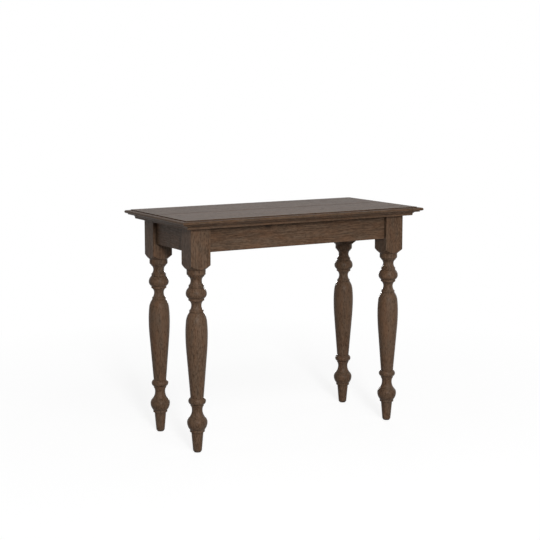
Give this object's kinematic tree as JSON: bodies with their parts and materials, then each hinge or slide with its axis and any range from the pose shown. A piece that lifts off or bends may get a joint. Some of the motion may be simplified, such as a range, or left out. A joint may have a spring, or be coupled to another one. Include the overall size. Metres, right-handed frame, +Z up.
{
  "type": "extending table",
  "caption": "Extending side table on turned legs, split lengthwise: its halves draw apart on wooden slides, with dowels and swinging locks under a moulded top.",
  "frame": {"origin": "on the floor under the middle of the closed table", "axes": "+X along the length, to the right seen from the front; +Y from the front half to the rear half; +Z up"},
  "size_m": [0.92, 0.448, 0.76],
  "materials": {
    "stained_wood": "dark brown stain, satin varnish",
    "plain_wood": "bare planed beech, waxed where it slides",
    "zinc_steel": "zinc plated",
    "lock_steel": "brassed steel, dull",
    "glide_nylon": "moulded nylon"
  },
  "bodies": {
    "rear_half": {"rear_top": "stained_wood", "rear_edge_moulding": "stained_wood", "rear_apron": "stained_wood", "rear_glue_block": "plain_wood", "rear_hanger_bolts": "zinc_steel", "rear_hanger_nuts": "zinc_steel", "rear_foot_glides": "glide_nylon", "rear_top_screws": "zinc_steel", "rear_left_edge_moulding": "stained_wood", "rear_left_leg": "stained_wood", "rear_left_end_apron": "stained_wood", "rear_left_corner_block": "plain_wood", "rear_left_slide": "plain_wood", "rear_right_edge_moulding": "stained_wood", "rear_right_leg": "stained_wood", "rear_right_end_apron": "stained_wood", "rear_right_corner_block": "plain_wood", "rear_right_slide": "plain_wood", "seam_dowels": "plain_wood", "left_lock_keeper": "lock_steel", "right_lock_keeper": "lock_steel", "keeper_screws": "zinc_steel"},
    "front_half": {"front_top": "stained_wood", "front_edge_moulding": "stained_wood", "front_apron": "stained_wood", "front_glue_block": "plain_wood", "front_hanger_bolts": "zinc_steel", "front_hanger_nuts": "zinc_steel", "front_foot_glides": "glide_nylon", "front_top_screws": "zinc_steel", "front_left_edge_moulding": "stained_wood", "front_left_leg": "stained_wood", "front_left_end_apron": "stained_wood", "front_left_corner_block": "plain_wood", "front_left_slide": "plain_wood", "front_right_edge_moulding": "stained_wood", "front_right_leg": "stained_wood", "front_right_end_apron": "stained_wood", "front_right_corner_block": "plain_wood", "front_right_slide": "plain_wood", "front_stop_pins": "zinc_steel", "left_lock_plate": "lock_steel", "right_lock_plate": "lock_steel", "lock_plate_screws": "zinc_steel"},
    "middle_slides": {"middle_left_slide": "plain_wood", "middle_right_slide": "plain_wood", "middle_stop_pins": "zinc_steel", "slide_tie": "plain_wood", "tie_screws": "zinc_steel"},
    "left_lock": {"left_lock_lever": "lock_steel"},
    "right_lock": {"right_lock_lever": "lock_steel"}
  },
  "joints": [
    {"name": "extension", "type": "slide", "parent": "rear_half", "child": "front_half", "axis": [0, -1, 0], "range_m": [0, 0.4]},
    {"name": "middle_slide", "type": "slide", "parent": "rear_half", "child": "middle_slides", "axis": [0, -1, 0], "range_m": [0, 0.2]},
    {"name": "left_lock_turn", "type": "hinge", "parent": "front_half", "child": "left_lock", "pos_m": [-0.12989, -0.022, 0.7387], "axis": [0, 0, 1], "range_deg": [0, 90]},
    {"name": "right_lock_turn", "type": "hinge", "parent": "front_half", "child": "right_lock", "pos_m": [0.12989, -0.022, 0.7387], "axis": [0, 0, -1], "range_deg": [0, 90]}
  ],
  "couplings": [
    {"joint": "middle_slide", "follows": "extension", "ratio": 0.5}
  ]
}
